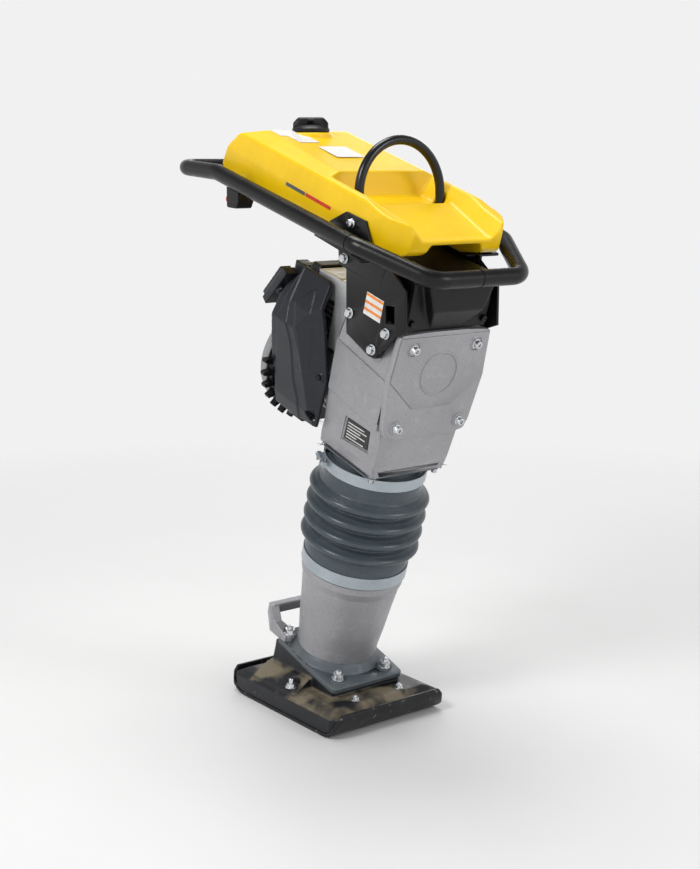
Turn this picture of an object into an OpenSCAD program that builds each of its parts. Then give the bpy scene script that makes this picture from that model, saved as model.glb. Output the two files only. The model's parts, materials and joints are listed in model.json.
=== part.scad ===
// Jumping jack rammer: a vibratory tamper whose spring leg drives a flat shoe into the ground.
// World frame: X forward (travel), Y to the machine's left, Z up; the origin is the middle of the
// sole on the ground. Everything above the shoe leans forward and is drawn in the leg frame
// (u forward, y left, s up along the leg's axis), which leg() places in the world.

/* [Leg] */
// Forward lean of the leg, degrees from vertical
leg_tilt = 17.37; // [16:0.1:18]
// Where the leg's axis meets the ground, along X
leg_x0 = -32; // [-36:1:-28]
// Full ramming stroke of the upper mass on the foot
ram_stroke = 65; // [55:1:65]

/* [Shoe] */
// Width of the shoe
shoe_w = 250; // [250:1:256]
// Overall length of the shoe over its curled ends
shoe_l = 336; // [334:1:340]
// Thickness of the steel sole
sole_t = 7; // [6:0.5:8]

/* [Foot] */
// Half width of the foot flange
flange_half_w = 79; // [76:1:80]
// Thickness of the foot flange
flange_t = 11; // [10:0.5:12]
// Outer radius of the guide cone where it meets the flange
cone_r_low = 73; // [72:0.5:74]
// Outer radius of the guide cone at its neck
cone_r_top = 91; // [90.5:0.5:91]

/* [Bellows] */
// Outer radius of a convolution
bellows_r = 107; // [105:0.5:108]
// Number of convolutions
bellows_n = 4; // [4]
// Rubber thickness
bellows_t = 3.5; // [3:0.5:4]

/* [Crankcase] */
// Half width of the crankcase
case_half_w = 88; // [87:0.5:88]
// Wall thickness of the crankcase
case_t = 8; // [7:0.5:9]
// Radius of the plain raised ring on the cover
emblem_r = 39.5; // [36:0.5:42]

/* [Crank drive] */
// Gear module
gear_m = 2.4; // [2.4]
// Teeth on the crank gear
gear_z = 66; // [66]
// Teeth on the pinion
pinion_z = 11; // [11]
// Crank radius (half of the piston's stroke)
crank_r = 20; // [18:0.5:20]
// Con rod length between pins
rod_l = 120; // [118:1:122]

/* [Springs] */
// Outer radius of the spring cylinder
spring_cyl_r = 62; // [62]
// Radius of the piston rod
piston_rod_r = 15; // [14:0.5:16]

/* [Handle] */
// Outer diameter of the handle tube
tube_d = 28; // [26:0.5:28]
// Wall of the handle tube
tube_t = 2.5; // [2:0.5:3]
// Half width of the handle between tube centre lines
handle_half_w = 157; // [156:0.5:158]

/* [Tank] */
// Half width of the tank
tank_half_w = 126; // [125.5:0.5:126]
// Wall thickness of the tank
tank_t = 5; // [4:0.5:6]
// Radius of the fuel cap
cap_r = 33; // [31:0.5:34]

/* [Engine] */
// Radius of the chamber that the fan turns in
fan_r = 90; // [89:0.5:91]
// Radius of the recoil starter's cover
starter_r = 104; // [102:1:105]
// Engine piston diameter
bore_d = 46; // [44:1:48]

/* [Hidden] */
// Roundness of ordinary and of large curves
$fn = 48;
fine = 96;
// Leg-frame heights
flange_s = 92;
neck_s = 290;
base_s = 515;
case_top_s = 785;
gear_s = 598 + gear_m * (gear_z + pinion_z) / 2;
drive_s = 598;
pin_s = gear_s + crank_r;
wrist_s = pin_s - rod_l;
// Leg-frame fore and aft positions
case_rear_u = -62;
case_front_u = 92;
cover_u = 104;
gear_u = -48;
gear_w = 22;
fan_u = -190;
cyl_u = -148;
// Clearances: moving neighbours, running fits
gap = 0.5;
fit = 0.05;
bolt_xy_front = [80.7, 53.4];
bolt_xy_rear = [-60, 66];
tube_r = tube_d / 2;

// ---------- frames and helpers ----------

// Puts children drawn in the leg frame into the world
module leg() {
    translate([leg_x0, 0, 0]) rotate([0, leg_tilt, 0]) children();
}

// Extrudes a (y, s) outline from u0 to u1
module slab_u(u0, u1) {
    translate([u0, 0, 0]) rotate([90, 0, 90]) linear_extrude(u1 - u0) children();
}

// Extrudes a (u, s) outline from y0 to y1
module slab_y(y0, y1) {
    translate([0, y1, 0]) rotate([90, 0, 0]) linear_extrude(y1 - y0) children();
}

// Round bar along u
module rod_u(u0, u1, r, y, s) {
    translate([u0, y, s]) rotate([0, 90, 0]) cylinder(h = u1 - u0, r = r);
}

// Round bar along y
module rod_y(y0, y1, r, u, s) {
    translate([u, y0, s]) rotate([-90, 0, 0]) cylinder(h = y1 - y0, r = r);
}

// Tube standing on s0
module pipe(s0, s1, r_out, r_in) {
    translate([0, 0, s0]) difference() {
        cylinder(h = s1 - s0, r = r_out, $fn = fine);
        translate([0, 0, -1]) cylinder(h = s1 - s0 + 2, r = r_in, $fn = fine);
    }
}

function unit(v) = v / norm(v);
function mix(a, b, t) = a * (1 - t) + b * t;

// Points of one rounded corner at b, between a and c
function corner(a, b, c, r, n = 5) = let (
    da = unit(a - b), dc = unit(c - b),
    half = acos(da * dc) / 2,
    d = r / tan(half),
    centre = b + unit(da + dc) * r / sin(half),
    p = b + da * d - centre, q = b + dc * d - centre,
    sweep = acos((p * q) / (r * r)),
    turn = sign(p[0] * q[1] - p[1] * q[0]),
    start = atan2(p[1], p[0])
) [for (i = [0:n]) centre + r * [cos(start + turn * sweep * i / n), sin(start + turn * sweep * i / n)]];

// Closed outline with every corner rounded by r
function rounded(pts, r) = let (n = len(pts))
    [for (i = [0:n - 1]) each corner(pts[(i + n - 1) % n], pts[i], pts[(i + 1) % n], r)];

// An outline made symmetric about the vertical axis from its right half (positive x first)
function both_sides(pts) = concat(pts, [for (i = [len(pts) - 1:-1:0]) [-pts[i][0], pts[i][1]]]);

// Flanged hexagon bolt head, seat at the origin, pointing along +Z
module bolt_head(d = 8) {
    cylinder(h = 0.25 * d, r = d);
    translate([0, 0, 0.25 * d - 0.01]) cylinder(h = 0.65 * d, r = 0.82 * d, $fn = 6);
}

// Socket head cap screw with a washer, seat at the origin
module socket_head(d = 8) {
    difference() {
        union() {
            cylinder(h = 1.6, r = d);
            cylinder(h = 1.6 + d, r = 0.8 * d);
        }
        translate([0, 0, 1.6 + 0.5 * d]) cylinder(h = d, r = 0.42 * d, $fn = 6);
    }
}

// One straight stretch of hollow tube
module tube_run(a, b, r, t) {
    d = b - a;
    translate(a) rotate([0, acos(d[2] / norm(d)), atan2(d[1], d[0])]) linear_extrude(norm(d))
        difference() {
            circle(r);
            circle(r - t);
        }
}

// One bend of hollow tube of centre radius rb at corner b, between directions d1 and d2
module tube_bend(b, d1, d2, rb, r, t) {
    angle = acos(d1 * d2);
    n = unit(d2 - d1 * (d1 * d2));
    c = b - d1 * rb * tan(angle / 2) + n * rb;
    z = cross(-n, d1);
    turn = [atan2(d1[2], z[2]), asin(n[2]), atan2(-n[1], -n[0])];
    translate(c) rotate(turn) rotate_extrude(angle = angle, $fn = fine) translate([rb, 0]) difference() {
            circle(r);
            circle(r - t);
        }
}

// Hollow tube through the points, bent at each inner point with the radius in bends;
// runs and bends are separate solids with a hairline seam between them
module tube_path(pts, bends, r, t) {
    n = len(pts);
    dirs = [for (i = [0:n - 2]) unit(pts[i + 1] - pts[i])];
    cuts = [for (i = [0:n - 1]) (i == 0 || i == n - 1) ? 0
        : bends[i - 1] * tan(acos(dirs[i - 1] * dirs[i]) / 2)];
    seam = [for (i = [0:n - 1]) (i == 0 || i == n - 1) ? 0 : 0.01];
    for (i = [0:n - 2])
        tube_run(pts[i] + dirs[i] * (cuts[i] + seam[i]),
            pts[i + 1] - dirs[i] * (cuts[i + 1] + seam[i + 1]), r, t);
    for (i = [1:n - 2]) tube_bend(pts[i], dirs[i - 1], dirs[i], bends[i - 1], r, t);
}

// Coil spring from s0 to s1, wound with round wire
module coil_spring(s0, s1, r, wire_r, turns) {
    sides = 8;
    steps = ceil(turns * 16);
    h = s1 - s0 - 2 * wire_r;
    rings = [for (i = [0:steps]) let (a = 360 * turns * i / steps, z = s0 + wire_r + h * i / steps)
        [for (k = [0:sides - 1]) let (b = 360 * k / sides, q = r + wire_r * cos(b))
            [q * cos(a), q * sin(a), z + wire_r * sin(b)]]];
    walls = [for (i = [0:steps - 1]) for (k = [0:sides - 1]) let (j = (k + 1) % sides)
        [i * sides + k, i * sides + j, (i + 1) * sides + j, (i + 1) * sides + k]];
    polyhedron(points = [for (ring = rings) each ring], faces = concat(walls,
        [[for (k = [sides - 1:-1:0]) k], [for (k = [0:sides - 1]) steps * sides + k]]), convexity = 10);
}

// Spur gear outline centred on the origin with a tooth (or a gap) towards +y
module gear_outline(z, m, tooth_up) {
    rp = z * m / 2;
    p = 360 / z;
    root = 0.28 * p;
    tip = 0.10 * p;
    start = tooth_up ? 90 : 90 + p / 2;
    polygon([for (i = [0:z - 1]) for (q = [[-root, -1.3], [-tip, 0.92], [tip, 0.92], [root, -1.3]])
        let (a = start + i * p + q[0]) (rp + q[1] * m) * [cos(a), sin(a)]]);
}

// ---------- shoe (drawn in the world frame) ----------

half_l = shoe_l / 2;
// Flat length of the sole ahead of and behind the middle
sole_flat = 131;
toe_z = 46;

// The sole's outside curve: flat, then curled up at both ends
function sole_side(t) = let (r = half_l - sole_flat + 6) concat(
    [for (i = [0:8]) [sole_flat + (r - t) * sin(i * 10) - 6, r - (r - t) * cos(i * 10)]],
    [[half_l - t - 1, toe_z]]);

module shoe_plate() {
    color("#1b1c20") intersection() {
        slab_y(-shoe_w / 2, shoe_w / 2) polygon(concat(
            sole_side(0), [for (i = [9:-1:0]) sole_side(sole_t)[i]],
            [for (i = [0:9]) [-sole_side(sole_t)[i][0], sole_side(sole_t)[i][1]]],
            [for (i = [9:-1:0]) [-sole_side(0)[i][0], sole_side(0)[i][1]]]));
        translate([0, 0, -1]) linear_extrude(toe_z + 2) shoe_plan(shoe_w / 2, half_l);
        // the lips' upper corners are cut at a slant
        slab_u(-half_l, half_l)
            polygon(both_sides([[shoe_w / 2, -1], [shoe_w / 2, 28], [shoe_w / 2 - 17, toe_z + 2]]));
    }
}

// Plan of the shoe: a rectangle with its corners trimmed
module shoe_plan(w, l) {
    cut_x = 12;
    cut_y = 9;
    polygon([[-l, -w + cut_y], [-l + cut_x, -w], [l - cut_x, -w], [l, -w + cut_y],
        [l, w - cut_y], [l - cut_x, w], [-l + cut_x, w], [-l, w - cut_y]]);
}

// Core of the shoe, the wedge under the flange and the shoulders beside it
module shoe_body() {
    core_half_w = shoe_w / 2 - 1;
    deck_z = 46;
    side_z = 40;
    body_l = half_l - sole_t - 2;
    color("#20222a") difference() {
        union() {
            // core: flat in the middle and falling to the long edges
            intersection() {
                slab_u(-body_l, body_l) polygon([[-core_half_w, sole_t], [core_half_w, sole_t],
                    [core_half_w, side_z - 4], [core_half_w - 14, side_z + 4], [84, deck_z + 6],
                    [-84, deck_z + 6], [-core_half_w + 14, side_z + 4], [-core_half_w, side_z - 4]]);
                slab_y(-core_half_w, core_half_w) polygon(concat(
                    [for (i = [0:8]) sole_side(sole_t)[i]], [[body_l - 1, 36], [body_l - 24, front_seat_z],
                    [80, front_seat_z], [-96, deck_z + 6], [-body_l + 24, deck_z + 2], [-body_l + 1, 36]],
                    [for (i = [8:-1:0]) [-sole_side(sole_t)[i][0], sole_side(sole_t)[i][1]]]));
                linear_extrude(80) shoe_plan(core_half_w, body_l);
            }
            // wedge that leans the flange forward
            intersection() {
                leg() translate([-82, -flange_half_w + 3, 0]) cube([184, 2 * flange_half_w - 6, flange_s]);
                translate([-170, -100, deck_z - 6]) cube([300, 200, 120]);
            }
            // sloping shoulders beside the wedge
            for (side = [-1, 1]) slab_u(-102, 30) polygon([[side * 70, deck_z], [side * 70, 70],
                [side * 84, 66], [side * 116, 45], [side * 116, deck_z - 6]]);
        }
        // pockets around the side bolts
        for (side = [-1, 1]) {
            translate([side_bolt_x, side * side_bolt_y, side_seat_z]) cylinder(h = 60, r = 17);
            translate([side_bolt_x, side * side_bolt_y, 20]) cylinder(h = 60, r = 5);
            translate([front_bolt_x, side * front_bolt_y, 20]) cylinder(h = 60, r = 4);
        }
    }
}

side_bolt_x = 4;
side_bolt_y = 104;
front_bolt_x = 123.7;
front_bolt_y = 49.7;
side_seat_z = 49;
front_seat_z = 48;

module shoe_bolts() {
    color("silver") {
        for (side = [-1, 1]) {
            translate([side_bolt_x, side * side_bolt_y, side_seat_z]) {
                cylinder(h = 2, r = 11);
                cylinder(h = 8, r = 8.5, $fn = 6);
                cylinder(h = 17, r = 4);
                translate([0, 0, 20 - side_seat_z]) cylinder(h = side_seat_z - 20, r = 5);
            }
            translate([front_bolt_x, side * front_bolt_y, front_seat_z]) {
                cylinder(h = 1.6, r = 8);
                cylinder(h = 7, r = 6.5, $fn = 6);
                cylinder(h = 10, r = 3);
                translate([0, 0, 20 - front_seat_z]) cylinder(h = front_seat_z - 20, r = 4);
            }
        }
    }
}

// ---------- foot (leg frame) ----------

cone_s = flange_s + flange_t + 16;
guide_r = 70;

// Outer profile of the cone: a slightly waisted flare
module cone_profile() {
    polygon([[64, cone_s], [cone_r_low, cone_s], [cone_r_low + 1.5, cone_s + 22], [79, 175], [84, 225],
        [88.5, 262], [92.5, 276], [92.5, 288], [cone_r_top - 2, neck_s], [cone_r_top - 2, neck_s + 42],
        [80, neck_s + 42], [76, 262], [76, 215], [64, 200]]);
}

module foot_flange() {
    outline = rounded([[107, -flange_half_w], [107, flange_half_w], [40, flange_half_w + 2],
        [-74, flange_half_w + 1], [-88, 40], [-88, -40], [-74, -flange_half_w - 1],
        [40, -flange_half_w - 2]], 10);
    color("#5d6670") leg() difference() {
        union() {
            translate([0, 0, flange_s]) linear_extrude(flange_t) polygon(outline);
            translate([0, 0, flange_s + flange_t])
                cylinder(h = cone_s - flange_s - flange_t, r1 = 82, r2 = cone_r_low, $fn = fine);
            for (side = [-1, 1]) translate([bolt_xy_front[0], side * bolt_xy_front[1], flange_s])
                cylinder(h = flange_t + 1.5, r = 14);
        }
        translate([0, 0, flange_s + 8]) cylinder(h = 60, r = spring_cyl_r, $fn = fine);
        flange_holes(5.5);
        for (side = [-1, 1]) translate([bolt_xy_rear[0], side * bolt_xy_rear[1], flange_s + flange_t])
            cylinder(h = 30, r = 13.1);
    }
}

module flange_holes(r) {
    for (side = [-1, 1]) for (p = [bolt_xy_front, bolt_xy_rear])
        translate([p[0], side * p[1], flange_s - 1]) cylinder(h = flange_t + 30, r = r);
}

module foot_cone() {
    color("#9a9b9c") leg() rotate_extrude($fn = fine) cone_profile();
}

module flange_nuts() {
    color("silver") leg() for (side = [-1, 1]) for (p = [[bolt_xy_front, 1.5], [bolt_xy_rear, grip_boss_h]])
        translate([p[0][0], side * p[0][1], flange_s + flange_t + p[1]]) {
            cylinder(h = 2, r = 11);
            translate([0, 0, 2]) cylinder(h = 9, r = 9.8, $fn = 6);
            cylinder(h = 17, r = 5);
            translate([0, 0, -flange_t - p[1]]) cylinder(h = flange_t + p[1], r = 5);
        }
}

// Cast carrying grip: two bosses on the rear studs and a loop round the back of the cone
grip_boss_h = 12;
grip_u = -136;
module foot_grip() {
    s0 = flange_s + flange_t;
    color("#a3a5a8") leg() difference() {
        union() {
            translate([0, 0, s0]) for (side = [-1, 1])
                translate([bolt_xy_rear[0], side * bolt_xy_rear[1], 0]) cylinder(h = grip_boss_h, r = 13);
            // arms rising to the rear bar
            for (side = [-1, 1]) intersection() {
                slab_y(min(side * 52, side * 92), max(side * 52, side * 92))
                    polygon([[-52, s0], [-52, s0 + 12], [-84, s0 + 26], [grip_u - 1, s0 + 34],
                        [grip_u - 1, s0 + 12], [-96, s0 + 2], [-72, s0]]);
                translate([0, 0, s0]) linear_extrude(60) polygon([[-50, side * 60], [-50, side * 80],
                    [-94, side * 86], [grip_u - 2, side * 64], [grip_u + 12, side * 50], [-86, side * 68],
                    [-70, side * 60]]);
            }
            // rear bar
            translate([grip_u - 1, -62, s0 + 14]) cube([14, 124, 20]);
        }
        flange_holes(5);
        for (side = [-1, 1]) translate([bolt_xy_rear[0], side * bolt_xy_rear[1], s0 + grip_boss_h])
            cylinder(h = 40, r = 11.6);
    }
}

// Band clamp with a bolt through two lugs
module band(s0, s1, r, lug_angle) {
    thick = 1.6;
    pipe(s0, s1, r + thick, r);
    mid = (s0 + s1) / 2;
    rotate([0, 0, lug_angle]) translate([r + thick - 0.2, 0, mid]) {
        for (side = [-1, 1]) translate([0, side * 11 - 1.5, -7]) cube([11, 3, 14]);
        translate([6, 24, 0]) rotate([90, 0, 0]) cylinder(h = 48, r = 3);
        translate([6, 24, 0]) rotate([90, 0, 0]) cylinder(h = 5, r = 6, $fn = 6);
        translate([6, -14, 0]) rotate([90, 0, 0]) cylinder(h = 6, r = 6, $fn = 6);
    }
}

module lower_clamp() {
    color("#b9bfc4") leg() band(neck_s + 1, neck_s + 23, cone_r_top + 3, 145);
}

module upper_clamp() {
    color("#b9bfc4") leg() band(base_s - 31, base_s - 11, 90.5, 247);
}

// ---------- spring leg inside the bellows ----------

piston_s = 268;
piston_t = 14;
spring_floor = flange_s + 22;
cap_s = 418;

module spring_cylinder() {
    color("#8d9196") leg() union() {
        pipe(flange_s + 8.2, cap_s + 14, spring_cyl_r - 0.1, spring_cyl_r - 6);
        translate([0, 0, flange_s + 8.2])
            cylinder(h = spring_floor - flange_s - 8.2, r = spring_cyl_r - 0.2, $fn = fine);
    }
}

module spring_cap() {
    color("#777b80") leg() difference() {
        translate([0, 0, cap_s]) cylinder(h = 14, r = spring_cyl_r - 6, $fn = fine);
        translate([0, 0, cap_s - 1]) cylinder(h = 20, r = piston_rod_r + fit);
    }
}

module spring_pair(s0, s1) {
    coil_spring(s0 + 0.3, s1 - 0.3, 46, 7, 5);
    coil_spring(s0 + 0.3, s1 - 0.3, 29, 5, 7);
}

module lower_springs() {
    color("#42474d") leg() spring_pair(spring_floor, piston_s);
}

module upper_springs() {
    color("#42474d") leg() spring_pair(piston_s + piston_t, cap_s);
}

// Rod with its spring plate and the fork for the con rod
module piston_rod() {
    fork_w = 19;
    color("#a9adb2") leg() difference() {
        union() {
            translate([0, 0, piston_s]) cylinder(h = piston_t, r = spring_cyl_r - 7, $fn = fine);
            translate([0, 0, piston_s]) cylinder(h = wrist_s - piston_s - 12, r = piston_rod_r);
            translate([-fork_w, -14, wrist_s - 20]) cube([2 * fork_w, 28, 20]);
            rod_u(-fork_w, fork_w, 14, 0, wrist_s);
        }
        translate([-9.5, -20, wrist_s - 14]) cube([19, 40, 36]);
        rod_u(-30, 30, 7 + fit, 0, wrist_s);
    }
}

module wrist_pin() {
    color("#c8ccd0") leg() rod_u(-18.5, 18.5, 7, 0, wrist_s);
}

module con_rod() {
    color("#8f9499") leg() {
        difference() {
            union() {
                rod_u(-9, 9, 13, 0, wrist_s);
                rod_u(-9, 9, 24, 0, pin_s);
                translate([-6, -9, wrist_s]) cube([12, 18, rod_l]);
            }
            rod_u(-12, 12, 7 + fit, 0, wrist_s);
        }
        // crank pin
        rod_u(gear_u + gear_w + gap, 14, 12, 0, pin_s);
    }
}

module crank_gear() {
    color("#74797f") leg() difference() {
        union() {
            translate([gear_u, 0, gear_s]) rotate([90, 0, 90]) linear_extrude(gear_w)
                gear_outline(gear_z, gear_m, false);
            rod_u(case_rear_u + case_t - 4, gear_u + 0.1, 15, 0, gear_s);
        }
        // lightening holes on the side away from the crank pin
        for (a = [-60, -20, 20, 60]) translate([gear_u - 1, 0, gear_s]) rotate([a - 180, 0, 0])
            translate([0, 0, 50]) rotate([0, 90, 0]) cylinder(h = gear_w + 2, r = 11);
    }
}

// Ball bearing drawn as one plain ring
module ball_bearing(u0, u1, r_out, r_in, s) {
    translate([u0, 0, s]) rotate([0, 90, 0]) difference() {
        cylinder(h = u1 - u0, r = r_out);
        translate([0, 0, -1]) cylinder(h = u1 - u0 + 2, r = r_in);
    }
}

module bearings() {
    color("#c4c8cc") leg() {
        ball_bearing(case_rear_u + case_t + 1 - 5, gear_u - 1, 30, 15 + fit, gear_s);
        ball_bearing(case_rear_u - 6, case_rear_u + 8, 17.5, 10 + fit, drive_s);
    }
}

module pinion_shaft() {
    color("#868b91") leg() union() {
        translate([gear_u - 1, 0, drive_s]) rotate([90, 0, 90]) linear_extrude(gear_w + 1)
            gear_outline(pinion_z, gear_m, true);
        rod_u(-72, gear_u - 1, 10, 0, drive_s);
        // clutch drum: a cup open towards the engine
        rod_u(-74.5, -70.5, 42, 0, drive_s);
        translate([-98.5, 0, drive_s]) rotate([0, 90, 0]) difference() {
            cylinder(h = 26, r = 42);
            translate([0, 0, -1]) cylinder(h = 28, r = 38);
        }
    }
}

// ---------- guide and bellows ----------

module guide_tube() {
    color("#8b9095") leg() difference() {
        union() {
            pipe(240, base_s, guide_r, guide_r - 6);
            pipe(base_s - 34, base_s - 13, 86.5, guide_r - 6);
            pipe(base_s - 13.1, base_s, 78, guide_r - 6);
            translate([0, 0, base_s - 3]) linear_extrude(3)
                polygon(rounded([[82, -80], [82, 80], [-58, 80], [-58, -80]], 12));
        }
        translate([0, 0, base_s - 50]) cylinder(h = 52, r = guide_r - 6.5, $fn = fine);
        for (p = base_holes) translate([p[0], p[1], base_s - 8]) cylinder(h = 30, r = 4);
        for (p = base_holes) translate([p[0], p[1], base_s - 20]) cylinder(h = 17, r = 7);
    }
}

base_holes = [[76, 69], [76, -69], [-50, 69], [-50, -69]];

module guide_bush() {
    color("#9c7b3f") leg() {
        pipe(243, 300, guide_r - 6.02, spring_cyl_r - 0.1 + fit);
        pipe(base_s - 4, base_s + 14, 27, piston_rod_r + fit);
    }
}

// Bellows wall: cosine-shaped convolutions between two plain necks
conv_top = 459.5;
conv_low = 333.5;
module bellows() {
    mid_r = (bellows_r + 88) / 2;
    amp = (bellows_r - 88) / 2;
    n = bellows_n * 12;
    function wave(i, grow) = let (a = 360 * bellows_n * i / n, c = -cos(a))
        [mid_r + amp * (c > 0 ? pow(c, 0.7) : -pow(-c, 1.2)) - grow,
            conv_low + (conv_top - conv_low) * i / n];
    color("#4e5b66") leg() rotate_extrude($fn = fine) polygon(concat(
        [[cone_r_top + 2.9, neck_s + 0.5]], [for (i = [1:n - 1]) wave(i, 0)],
        [[90.3, conv_top + 4], [90.3, base_s - 14], [86.8, base_s - 14], [86.8, conv_top]],
        [for (i = [n - 1:-1:1]) wave(i, bellows_t)],
        [[cone_r_top - 1.7, conv_low], [cone_r_top - 1.7, neck_s + 0.5]]));
}

// ---------- crankcase ----------

engine_face_u = -64;
engine_flange = rounded(both_sides([[58, 545], [64, 600], [50, 655]]), 10);

// Front view of the case: narrow at the base, widest two thirds up
case_front = rounded(both_sides([[79, base_s], [81, 536], [84, 600], [case_half_w, 700],
    [case_half_w - 4, case_top_s]]), 5);
case_side = [[84, base_s], [case_front_u - 4, 540], [case_front_u, 590], [case_front_u, case_top_s],
    [-46, case_top_s], [-56, 740], [-60, 690], [case_rear_u, 630], [-60, 560], [-63.5, 538], [-63.5, base_s]];

module case_solid() {
    intersection() {
        slab_u(case_rear_u - 10, case_front_u + 10) polygon(case_front);
        slab_y(-case_half_w - 1, case_half_w + 1) polygon(case_side);
    }
}

module crankcase() {
    plate_recess = [[-8, 548], [66, 556], [64, 594], [-5, 592]];
    color("#a7a8aa") leg() difference() {
        union() {
            case_solid();
            // raised side panels
            for (side = [-1, 1]) translate([0, side * (case_half_w - 0.5), 0])
                slab_y(-3.5, 3.5) polygon([[-58, 712], [86, 694], [86, 606], [-56, 622]]);
            for (p = base_holes) translate([p[0], p[1], base_s]) cylinder(h = 18, r = 10);
            // pad that the engine's flange is bolted to, and the bearing seats
            slab_u(engine_face_u, -50) polygon(engine_flange);
            rod_u(case_rear_u, gear_u - 1, 36, 0, gear_s);
            rod_u(case_rear_u - 8, case_rear_u + 9, 24, 0, drive_s);
        }
        // crank chamber, open to the front
        difference() {
            union() {
                slab_u(gear_u - 1.6, case_front_u - case_t) polygon(rounded(both_sides([
                    [60, base_s + 18], [76, 610], [case_half_w - 4.5, 690],
                    [case_half_w - case_t - 4, case_top_s - case_t]]), 14));
                slab_u(0, case_front_u + 20) polygon(rounded(both_sides([[70, 608], [74, 640],
                    [78, 690], [76, case_top_s - 12]]), 14));
            }
            for (p = base_holes) translate([p[0], p[1], base_s - 1]) cylinder(h = 26, r = 10);
        }
        // passage for the piston rod and its bush
        translate([0, 0, base_s - 1]) cylinder(h = 60, r = 27.02);
        translate([0, 0, base_s + 14]) cylinder(h = 20, r = 34);
        // bearing bores
        rod_u(case_rear_u + case_t - 4, gear_u + 1, 30.02, 0, gear_s);
        rod_u(case_rear_u - 20, gear_u + 1, 17.52, 0, drive_s);
        // rating plate recess on the right side
        slab_y(-case_half_w - 10, -case_half_w + 9) polygon(plate_recess);
        for (p = base_holes) translate([p[0], p[1], base_s - 8]) cylinder(h = 24, r = 4);
        for (p = side_bolts, side = [-1, 1]) rod_y(side > 0 ? 70 : -100, side > 0 ? 100 : -70, 5, p[0], p[1]);
    }
}

side_bolts = [[-25, 771], [72.5, 774.6], [47.3, 736.4]];

module rating_plate() {
    color("#141416") leg() slab_y(-case_half_w + 7.8, -case_half_w + 9)
        polygon([[-3, 551], [62, 558.5], [60, 591], [-1, 589.5]]);
}

cover_outline = rounded(both_sides([[60, 595], [85, 601], [92, 618], [102, 700], [94.4, 782],
    [40, case_top_s]]), 7);
cover_bolts = [[66.5, 759], [67.2, 619]];

module crankcase_cover() {
    color("#a7a8aa") leg() difference() {
        union() {
            slab_u(case_front_u, cover_u) polygon(cover_outline);
            // raised lower-edge bevel panel and the plain ring
            slab_u(cover_u - 0.1, cover_u + 2.2)
                polygon([[-94, 778], [94, 778], [99, 702], [42, 650], [-42, 650], [-99, 702]]);
            translate([cover_u + 2, 0, 711]) rotate([0, 90, 0]) difference() {
                cylinder(h = 2.2, r = emblem_r);
                translate([0, 0, -1]) cylinder(h = 5, r = emblem_r - 4);
            }
            for (p = cover_bolts, side = [-1, 1]) rod_u(case_front_u, cover_u + 3, 12, side * p[0], p[1]);
        }
        for (p = cover_bolts, side = [-1, 1]) rod_u(case_front_u - 1, cover_u + 10, 4, side * p[0], p[1]);
        // inside relief behind the crank pin
        rod_u(case_front_u - 1, case_front_u + 5, 60, 0, gear_s);
    }
}

module case_screws() {
    color("silver") leg() {
        for (p = cover_bolts, side = [-1, 1]) {
            translate([cover_u + 3, side * p[0], p[1]]) rotate([0, 90, 0]) socket_head(8);
            rod_u(case_front_u + 1, cover_u + 3.5, 4, side * p[0], p[1]);
        }
        for (p = base_holes) {
            translate([p[0], p[1], base_s - 3]) rotate([180, 0, 0]) socket_head(6.5);
            translate([p[0], p[1], base_s - 3.5]) cylinder(h = 17, r = 4);
        }
    }
}

// ---------- air filter ----------

module air_filter_housing() {
    s0 = case_top_s + 1;
    color("#141518") leg() difference() {
        union() {
            slab_u(-40, 96) polygon(both_sides([[80, s0], [82, 850], [82, 877], [68, 879]]));
            // front bowl
            intersection() {
                slab_u(90, 122) polygon(both_sides([[34, s0 + 3], [52, 822], [72, 876]]));
                slab_y(-90, 90) polygon([[90, s0], [100, s0 + 4], [120, 826], [116, 880], [90, 884]]);
            }
            // flange with its two ears
            slab_u(93, 99) polygon(both_sides([[40, s0], [84, s0], [85, 812], [83, 866], [60, 880]]));
        }
        slab_u(-36, 90) polygon(both_sides([[74, s0 + 6], [76, 850], [76, 873]]));
        for (side = [-1, 1]) rod_u(80, 110, 3.5, side * 75.8, 800.5);
    }
}

module air_filter_element() {
    color("#d8cdb4") leg() difference() {
        translate([22, 0, case_top_s + 12]) cylinder(h = 70, r = 58, $fn = fine);
        translate([22, 0, case_top_s + 16]) cylinder(h = 70, r = 36, $fn = fine);
    }
}

// ---------- engine ----------

// Rear view of the fan housing
fan_outline = both_sides([[30, 792], [82, 790], [112, 735], [124, 700], [113, 642], [103, 605], [92, 567],
    [74, 535], [50, 503], [26, 486]]);

module engine_block() {
    color("#8e9092") leg() difference() {
        union() {
            slab_u(-188, -106) polygon(rounded(both_sides([[46, 552], [56, 600], [50, 652], [20, 654]]), 8));
            // bell housing bolted to the crankcase
            rod_u(-110, engine_face_u, 58, 0, drive_s);
            slab_u(-72, engine_face_u) polygon(engine_flange);
        }
        // clutch chamber
        rod_u(-104, -60, 46, 0, drive_s);
        // crank chamber
        rod_u(-174, -120, 36, 0, drive_s);
        rod_u(-200, -100, 9 + fit, 0, drive_s);
        translate([cyl_u, 0, drive_s]) cylinder(h = 80, r = bore_d / 2 + fit);
    }
}

module engine_cylinder() {
    bore_top = 734;
    color("#b4b6b8") leg() difference() {
        union() {
            translate([cyl_u, 0, 654.2]) cylinder(h = 96, r = 31);
            for (i = [0:8]) translate([cyl_u - 36, -52, 664 + 10 * i]) cube([72, 104, 3.5]);
        }
        translate([cyl_u, 0, 640]) cylinder(h = bore_top - 640, r = bore_d / 2 + fit);
        translate([cyl_u, 0, 640]) cylinder(h = 200, r = 7.02);
        // exhaust and inlet ports
        rod_u(cyl_u, -100, 9, port_y, 700);
        rod_u(-200, cyl_u, 9, 0, 694);
    }
}

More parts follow.
